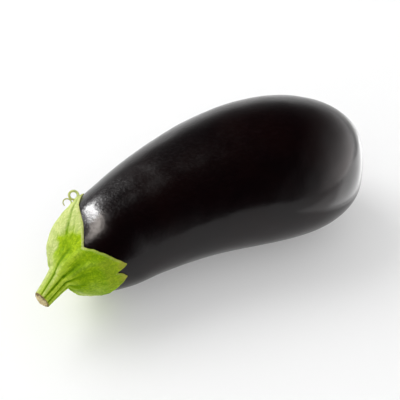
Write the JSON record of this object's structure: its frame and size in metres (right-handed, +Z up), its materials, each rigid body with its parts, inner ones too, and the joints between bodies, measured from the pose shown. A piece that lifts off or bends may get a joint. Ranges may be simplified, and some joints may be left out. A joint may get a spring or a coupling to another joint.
{
  "type": "eggplant",
  "caption": "Picked eggplant lying on its side: a bent, blunt-ended glossy fruit with a lobed green calyx over its neck and a short ribbed stem.",
  "frame": {"origin": "middle of the bounding box's base, on the surface that the fruit rests on", "axes": "+X along the fruit from the stem to the blossom end, +Z up; the fruit bends level with the surface, its inner side towards -Y"},
  "size_m": [0.2088, 0.0896, 0.0848],
  "materials": {
    "skin": "glossy waxy purple-black skin",
    "calyx_green": "matte fleshy yellow-green, paler at the edges",
    "stem_green": "matte ribbed green with a dry tan cut face"
  },
  "bodies": {
    "root": {"fruit": "skin", "calyx": "calyx_green", "stem": "stem_green"}
  },
  "joints": []
}
